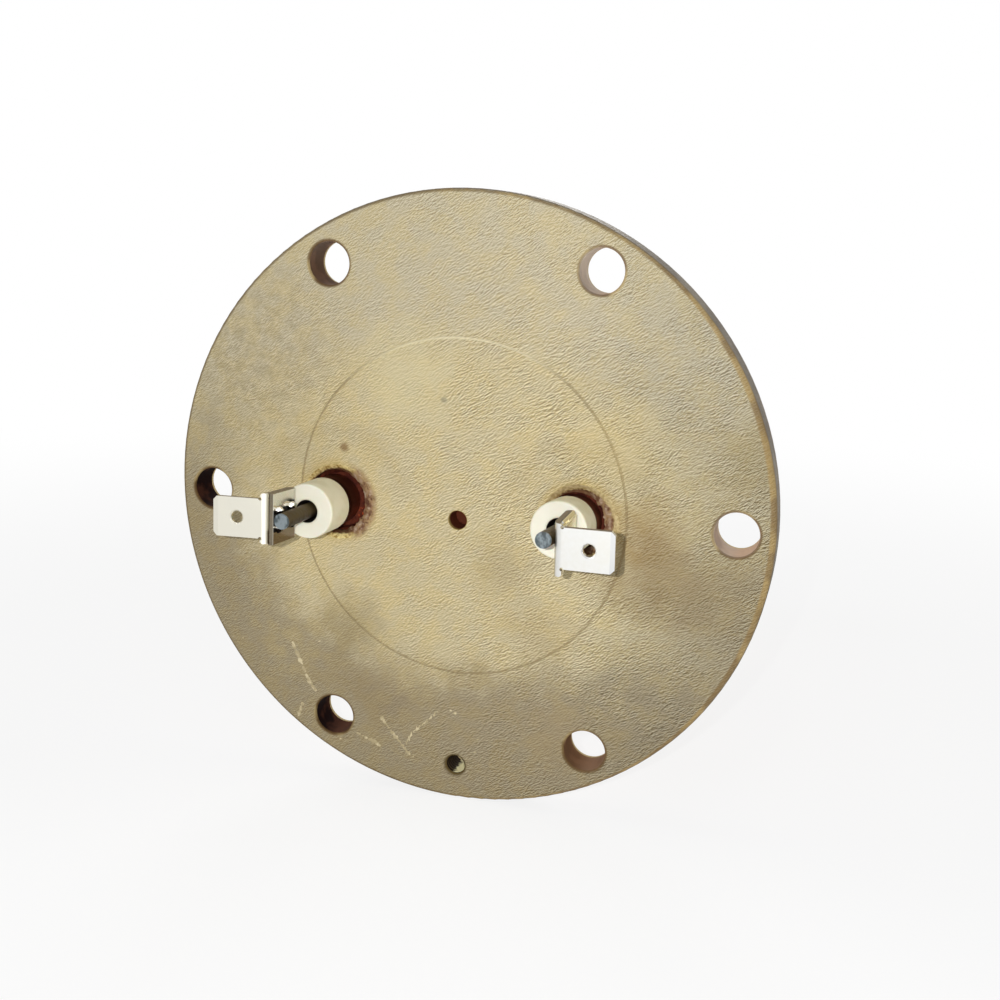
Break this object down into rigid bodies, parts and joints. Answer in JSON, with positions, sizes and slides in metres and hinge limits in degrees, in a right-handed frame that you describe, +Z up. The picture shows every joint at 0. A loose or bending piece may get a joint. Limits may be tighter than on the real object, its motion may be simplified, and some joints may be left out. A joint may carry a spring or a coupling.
{
  "type": "espresso machine heating element",
  "caption": "Immersion heater for an espresso boiler: round cast flange with a bolt circle, a looped heating tube behind it and spade terminals in ceramic bushes in front.",
  "frame": {"origin": "centre of the flange's sealing face, which is the bolt circle's centre", "axes": "+Y along the flange's axis into the boiler, towards the far bends of the heating tube; the terminals stand at -Y; +Z up; +X to the right as the terminals are seen"},
  "size_m": [0.102, 0.1477, 0.102],
  "materials": {
    "cast_brass": "pale sand-cast brass, blasted, with a fine oblique ripple",
    "copper_tube": "drawn copper, dull",
    "magnesia": "compacted powder",
    "winding_wire": "drawn resistance wire",
    "terminal_steel": "plain steel, sheared end",
    "sealing_compound": "matt red-brown compound",
    "bush_ceramic": "unglazed cream ceramic",
    "plated_tab": "bright plated sheet",
    "dark_filler": "oxidised brazing filler",
    "brazing_filler": "brazing filler, as flowed"
  },
  "bodies": {
    "root": {"flange": "cast_brass", "heating_tube": "copper_tube", "magnesia_fill": "magnesia", "resistance_winding": "winding_wire", "pin_left": "terminal_steel", "pin_right": "terminal_steel", "seal_left": "sealing_compound", "seal_right": "sealing_compound", "bush_left": "bush_ceramic", "bush_right": "bush_ceramic", "tab_left": "plated_tab", "tab_right": "plated_tab", "front_braze_left": "dark_filler", "front_braze_right": "dark_filler", "back_braze_left": "brazing_filler", "back_braze_right": "brazing_filler"}
  },
  "joints": []
}
